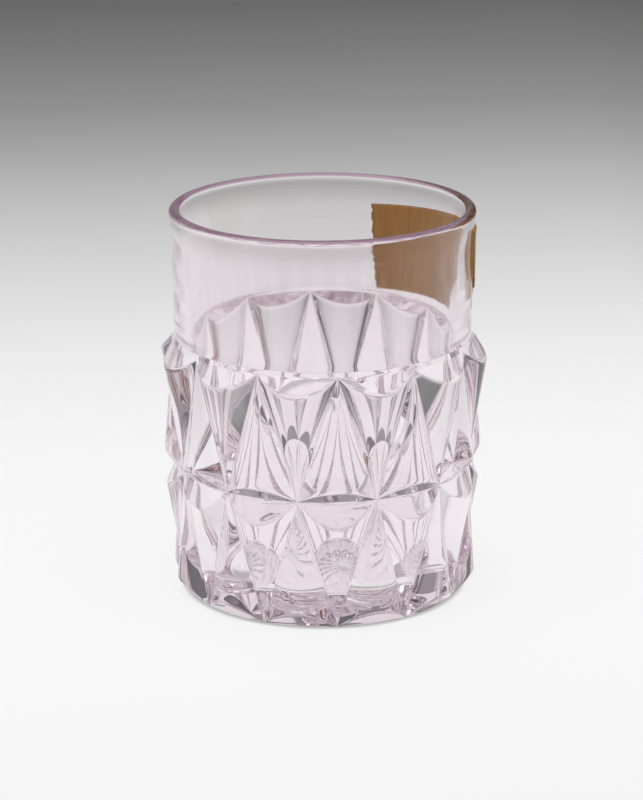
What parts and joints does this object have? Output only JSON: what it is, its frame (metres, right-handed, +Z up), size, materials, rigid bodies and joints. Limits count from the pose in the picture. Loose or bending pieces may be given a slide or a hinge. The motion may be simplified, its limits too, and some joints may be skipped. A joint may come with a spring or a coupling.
{
  "type": "glass beaker",
  "caption": "Pressed glass tumbler with a plain band and rounded lip above tiers of faceted relief, a thick floor with a star in the underside, and a bare paper label; holds a drink.",
  "frame": {"origin": "middle of the foot, on the surface that the beaker stands on", "axes": "+Z up along the beaker's axis; -Y towards the front, where a star point of the upper ring faces; +X to the right"},
  "size_m": [0.0742, 0.0742, 0.09],
  "materials": {
    "glass": "clear pressed glass with a faint lilac tint, fire polished",
    "gum": "dried amber gum film",
    "kraft_paper": "matte brown kraft paper"
  },
  "bodies": {
    "root": {"beaker_glass": "glass", "label_gum": "gum", "paper_label": "kraft_paper"}
  },
  "joints": []
}
